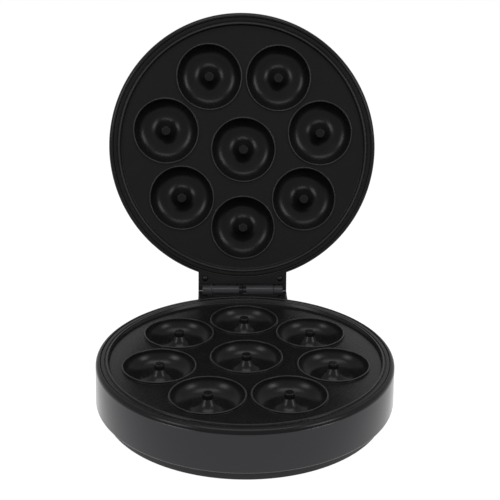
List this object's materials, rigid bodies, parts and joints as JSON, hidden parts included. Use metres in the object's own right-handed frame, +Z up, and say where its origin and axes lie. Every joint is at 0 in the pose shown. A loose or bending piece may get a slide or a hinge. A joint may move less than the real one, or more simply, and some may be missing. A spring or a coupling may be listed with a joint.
{
  "type": "donut maker",
  "caption": "Round electric donut maker: low base and hinged domed lid, each with a black cast plate of ring-shaped moulds, standing open.",
  "frame": {"origin": "centre of the base's standing land, on the table", "axes": "+Z up, +Y to the rear where the hinge is, +X to the right seen from the front"},
  "size_m": [0.2386, 0.3493, 0.2847],
  "materials": {
    "black_phenolic": "satin moulded black",
    "grey_shell": "gloss dark grey",
    "plinth_grey": "satin dark grey",
    "nonstick_cast": "black non-stick coated cast aluminium",
    "bright_steel": "zinc plated",
    "sheet_steel": "aluminised sheet",
    "heater_sheath": "heat tinted",
    "foot_rubber": "matt",
    "ceramic": "matt ceramic",
    "fuse_metal": "plain",
    "red_lens": "clear red",
    "green_lens": "clear green",
    "lamp_glass": "clear"
  },
  "bodies": {
    "base": {"base_frame": "black_phenolic", "base_shell": "grey_shell", "bottom_cover": "plinth_grey", "rubber_feet": "foot_rubber", "bottom_screws": "bright_steel", "base_hinge_screws": "bright_steel", "base_hinge_pin": "bright_steel", "lower_plate": "nonstick_cast", "lower_plate_screws": "bright_steel", "lower_heater": "heater_sheath", "lower_heater_clips": "sheet_steel", "lower_reflector": "sheet_steel", "lower_reflector_screws": "bright_steel", "thermostat": "ceramic", "thermostat_screws": "bright_steel", "thermal_fuse": "fuse_metal", "fuse_clip": "sheet_steel", "terminal_block": "ceramic", "cord_gland": "black_phenolic"},
    "lid": {"lid_frame": "black_phenolic", "lid_shell": "grey_shell", "lid_handle": "black_phenolic", "handle_screws": "bright_steel", "lid_hinge_screws": "bright_steel", "lid_hinge_pin": "bright_steel", "upper_plate": "nonstick_cast", "upper_plate_screws": "bright_steel", "upper_heater": "heater_sheath", "upper_heater_clips": "sheet_steel", "upper_reflector": "sheet_steel", "upper_reflector_screws": "bright_steel", "power_lens": "red_lens", "ready_lens": "green_lens", "neon_lamps": "lamp_glass"}
  },
  "joints": [
    {"name": "lid_hinge", "type": "hinge", "parent": "base", "child": "lid", "pos_m": [0, 0.1279, 0.044], "axis": [1, 0, 0], "range_deg": [0, 101.75]}
  ]
}
